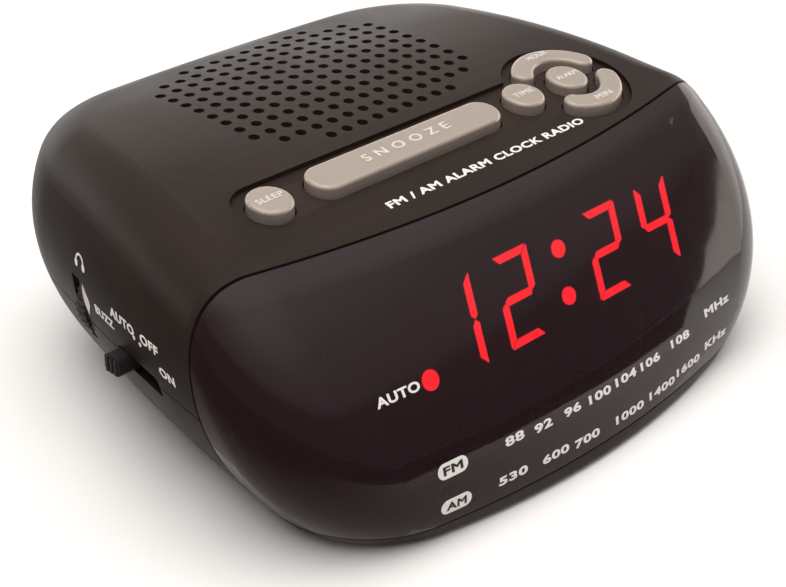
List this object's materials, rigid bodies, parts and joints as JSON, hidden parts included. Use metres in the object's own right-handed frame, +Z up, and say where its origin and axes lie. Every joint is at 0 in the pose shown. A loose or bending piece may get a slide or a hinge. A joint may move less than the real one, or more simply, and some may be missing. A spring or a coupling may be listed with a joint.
{
  "type": "clock radio",
  "caption": "Wedge-shaped clock radio with a crowned top, speaker grille, silver key row, wrap-around smoked lens over a red display and tuning scale, side wheels and slide switches.",
  "frame": {"origin": "on the table, under the middle of the body's box", "axes": "+X to the right seen from the front, +Y to the back, +Z up"},
  "size_m": [0.1376, 0.1181, 0.0536],
  "materials": {
    "cover_plastic": "fine moulded texture",
    "smoked_lens": "polished, smoked",
    "silver_keys": "satin metallic paint",
    "black_plastic": "moulded",
    "inner_black": "moulded",
    "circuit_board": "phenolic laminate",
    "led_lit": "glowing red",
    "led_dark": "unlit",
    "white_plastic": "moulded",
    "pointer_orange": "moulded",
    "nylon_cord": "braided",
    "zinc_steel": "zinc plated",
    "ferrite_magnet": "sintered",
    "ferrite_rod": "sintered",
    "cone_paper": "pressed",
    "foam_rubber": "open cell",
    "copper_wire": "enamelled wire",
    "coil_tape": "polyester tape",
    "core_steel": "stacked sheets",
    "capacitor_sleeve": "shrink sleeve",
    "battery_can": "plain jacket",
    "foot_rubber": "moulded"
  },
  "bodies": {
    "case": {"top_cover": "cover_plastic", "bottom_cover": "cover_plastic", "front_lens": "smoked_lens", "rubber_feet": "foot_rubber", "cord_bushing": "black_plastic", "led_housing": "inner_black", "led_segments_lit": "led_lit", "led_segments_dark": "led_dark", "display_board": "circuit_board", "dial_plate": "inner_black", "key_board": "circuit_board", "tact_switches": "inner_black", "tuning_capacitor": "white_plastic", "idler_pin": "zinc_steel", "dial_cord": "nylon_cord", "pointer_rail": "zinc_steel", "volume_control": "inner_black", "function_switch": "inner_black", "band_switch": "inner_black", "speaker_frame": "zinc_steel", "speaker_magnet": "ferrite_magnet", "speaker_cone": "cone_paper", "speaker_gasket": "foam_rubber", "speaker_clips": "zinc_steel", "main_board": "circuit_board", "integrated_circuits": "inner_black", "electrolytic_capacitors": "capacitor_sleeve", "tuning_coils": "zinc_steel", "ferrite_rod": "ferrite_rod", "antenna_coil": "copper_wire", "transformer_core": "core_steel", "transformer_coil": "coil_tape", "backup_battery": "battery_can", "battery_snap": "inner_black", "case_screws": "zinc_steel"},
    "sleep_key": {"sleep_button": "silver_keys"},
    "snooze_key": {"snooze_button": "silver_keys"},
    "time_key": {"time_button": "silver_keys"},
    "alarm_key": {"alarm_button": "silver_keys"},
    "hour_key": {"hour_button": "silver_keys"},
    "minute_key": {"minute_button": "silver_keys"},
    "volume_dial": {"volume_wheel": "black_plastic"},
    "tuning_dial": {"tuning_wheel": "black_plastic"},
    "pointer": {"dial_pointer": "pointer_orange"},
    "idler": {"idler_pulley": "white_plastic"},
    "function_slider": {"function_knob": "black_plastic"},
    "band_slider": {"band_knob": "black_plastic"},
    "battery_hatch": {"battery_door": "cover_plastic"}
  },
  "joints": [
    {"name": "sleep_key_press", "type": "slide", "parent": "case", "child": "sleep_key", "axis": [0, 0, -1], "range_m": [0, 0.0008], "stiffness_N_per_m": 1200},
    {"name": "snooze_key_press", "type": "slide", "parent": "case", "child": "snooze_key", "axis": [0, 0, -1], "range_m": [0, 0.0008], "stiffness_N_per_m": 1200},
    {"name": "time_key_press", "type": "slide", "parent": "case", "child": "time_key", "axis": [0, 0, -1], "range_m": [0, 0.0008], "stiffness_N_per_m": 1200},
    {"name": "alarm_key_press", "type": "slide", "parent": "case", "child": "alarm_key", "axis": [0, 0, -1], "range_m": [0, 0.0008], "stiffness_N_per_m": 1200},
    {"name": "hour_key_press", "type": "slide", "parent": "case", "child": "hour_key", "axis": [0, 0, -1], "range_m": [0, 0.0008], "stiffness_N_per_m": 1200},
    {"name": "minute_key_press", "type": "slide", "parent": "case", "child": "minute_key", "axis": [0, 0, -1], "range_m": [0, 0.0008], "stiffness_N_per_m": 1200},
    {"name": "volume_turn", "type": "hinge", "parent": "case", "child": "volume_dial", "pos_m": [-0.0519, 0.018, 0.0253], "axis": [0, 1, 0], "range_deg": [-140, 140]},
    {"name": "tuning_turn", "type": "hinge", "parent": "case", "child": "tuning_dial", "pos_m": [0.0534, -0.0185, 0.0275], "axis": [0, 1, 0], "range_deg": [-29, 277]},
    {"name": "pointer_travel", "type": "slide", "parent": "case", "child": "pointer", "axis": [1, 0, 0], "range_m": [-0.0434, 0.0047]},
    {"name": "idler_turn", "type": "hinge", "parent": "case", "child": "idler", "pos_m": [-0.034, -0.0245, 0.02235], "axis": [0, 1, 0], "range_deg": [-69.5, 658]},
    {"name": "function_slide", "type": "slide", "parent": "case", "child": "function_slider", "axis": [0, -1, 0], "range_m": [0, 0.0096]},
    {"name": "band_slide", "type": "slide", "parent": "case", "child": "band_slider", "axis": [0, -1, 0], "range_m": [0, 0.0034]},
    {"name": "battery_door_swing", "type": "hinge", "parent": "case", "child": "battery_hatch", "pos_m": [-0.002, 0.0076, 0.0024], "axis": [1, 0, 0], "range_deg": [0, 95]}
  ],
  "couplings": [
    {"joint": "pointer_travel", "follows": "tuning_turn", "m_per_rad": -0.0089},
    {"joint": "idler_turn", "follows": "tuning_turn", "ratio": 2.3733}
  ]
}
